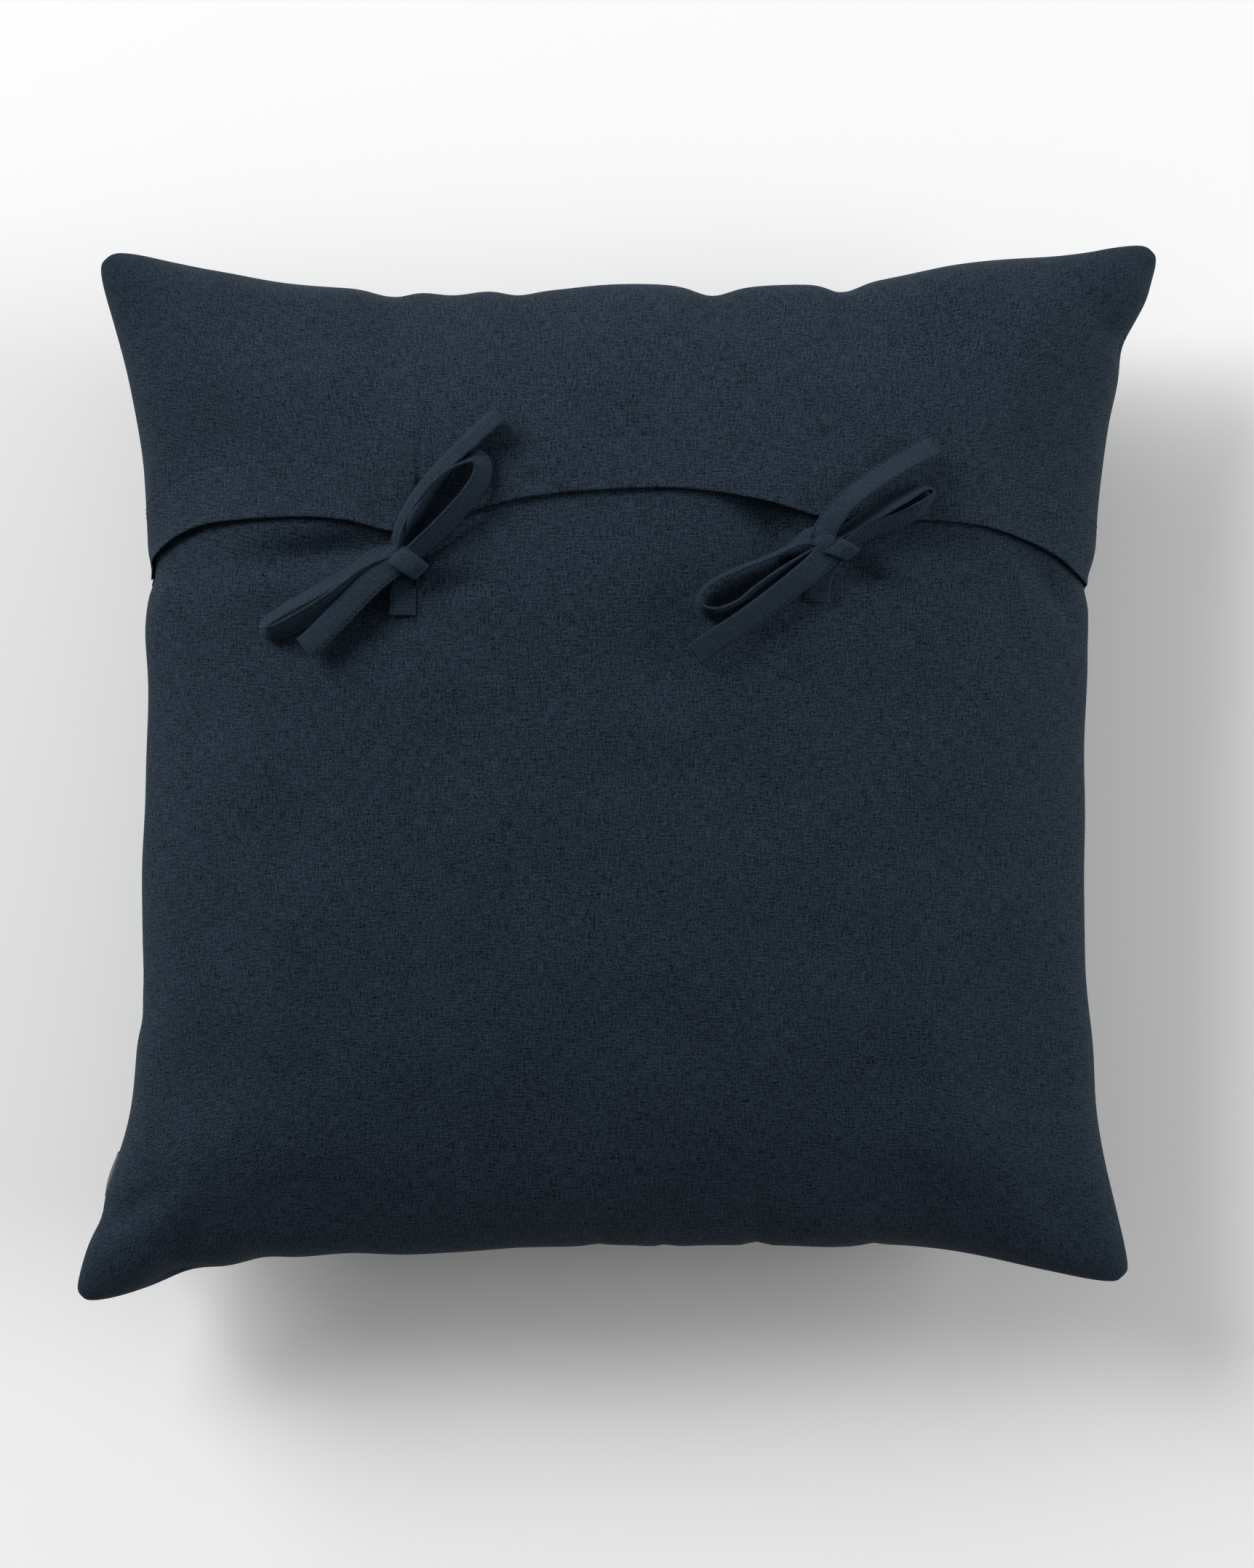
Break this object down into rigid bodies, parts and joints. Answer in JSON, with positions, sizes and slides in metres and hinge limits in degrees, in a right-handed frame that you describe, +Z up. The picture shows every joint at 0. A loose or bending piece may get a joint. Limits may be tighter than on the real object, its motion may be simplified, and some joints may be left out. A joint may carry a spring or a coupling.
{
  "type": "floor cushion",
  "caption": "Square stuffed cushion cover in plain-weave canvas, its overlapping envelope mouth held shut with tied cloth bows, over a filled insert pad.",
  "frame": {"origin": "middle of the flat patch on the front panel that the cushion rests on, which is the bottom centre of its box", "axes": "+Z up, out of the closure side; +Y up the flap from its free edge towards the seam it is sewn into; +X to the right, seen from above"},
  "size_m": [0.582, 0.582, 0.1806],
  "materials": {
    "cover_cloth": "matte",
    "tie_cloth": "matte",
    "thread": "satin",
    "insert_cloth": "matte",
    "insert_thread": "matte",
    "filling": "matte",
    "label": "satin"
  },
  "bodies": {
    "cushion": {"front_panel": "cover_cloth", "back_upper_panel": "cover_cloth", "back_lower_panel": "cover_cloth", "casing_top": "insert_cloth", "casing_bottom": "insert_cloth", "filling": "filling", "flap_hem_stitching": "thread", "lower_hem_stitching": "thread", "upper_tie_stitching": "thread", "lower_tie_stitching": "thread", "side_seam_thread": "thread", "insert_seam_thread": "insert_thread", "left_upper_tie_end": "tie_cloth", "left_lower_tie_end": "tie_cloth", "right_upper_tie_end": "tie_cloth", "right_lower_tie_end": "tie_cloth", "left_knot": "tie_cloth", "right_knot": "tie_cloth"},
    "care_label": {"care_label": "label"},
    "left_upper_loop": {"left_upper_loop": "tie_cloth"},
    "left_upper_tail": {"left_upper_tail": "tie_cloth"},
    "left_lower_loop": {"left_lower_loop": "tie_cloth"},
    "left_lower_tail": {"left_lower_tail": "tie_cloth"},
    "right_upper_loop": {"right_upper_loop": "tie_cloth"},
    "right_upper_tail": {"right_upper_tail": "tie_cloth"},
    "right_lower_loop": {"right_lower_loop": "tie_cloth"},
    "right_lower_tail": {"right_lower_tail": "tie_cloth"}
  },
  "joints": [
    {"name": "left_upper_loop_lift", "type": "hinge", "parent": "cushion", "child": "left_upper_loop", "pos_m": [-0.0975, 0.11879, 0.16436], "axis": [0.7166, -0.6607, 0.2234], "range_deg": [0, 60]},
    {"name": "left_upper_tail_lift", "type": "hinge", "parent": "cushion", "child": "left_upper_tail", "pos_m": [-0.11222, 0.12275, 0.15723], "axis": [0.8042, -0.5522, 0.22], "range_deg": [0, 90]},
    {"name": "left_lower_loop_lift", "type": "hinge", "parent": "cushion", "child": "left_lower_loop", "pos_m": [-0.1281, 0.11031, 0.15852], "axis": [-0.4867, 0.8464, -0.2162], "range_deg": [0, 60]},
    {"name": "left_lower_tail_lift", "type": "hinge", "parent": "cushion", "child": "left_lower_tail", "pos_m": [-0.11424, 0.10076, 0.15821], "axis": [-0.6015, 0.7674, -0.222], "range_deg": [0, 90]},
    {"name": "right_upper_loop_lift", "type": "hinge", "parent": "cushion", "child": "right_upper_loop", "pos_m": [0.13349, 0.12015, 0.15817], "axis": [0.4723, -0.8785, 0.0721], "range_deg": [0, 60]},
    {"name": "right_upper_tail_lift", "type": "hinge", "parent": "cushion", "child": "right_upper_tail", "pos_m": [0.11978, 0.1293, 0.15478], "axis": [0.5883, -0.8076, 0.0405], "range_deg": [0, 90]},
    {"name": "right_lower_loop_lift", "type": "hinge", "parent": "cushion", "child": "right_lower_loop", "pos_m": [0.10107, 0.11849, 0.16161], "axis": [-0.4723, 0.8785, -0.0721], "range_deg": [0, 60]},
    {"name": "right_lower_tail_lift", "type": "hinge", "parent": "cushion", "child": "right_lower_tail", "pos_m": [0.11349, 0.108, 0.15723], "axis": [-0.5883, 0.8076, -0.0405], "range_deg": [0, 90]},
    {"name": "care_label_lift", "type": "hinge", "parent": "cushion", "child": "care_label", "pos_m": [-0.27823, -0.225, 0.07988], "axis": [0, 1, 0], "range_deg": [0, 80]}
  ]
}
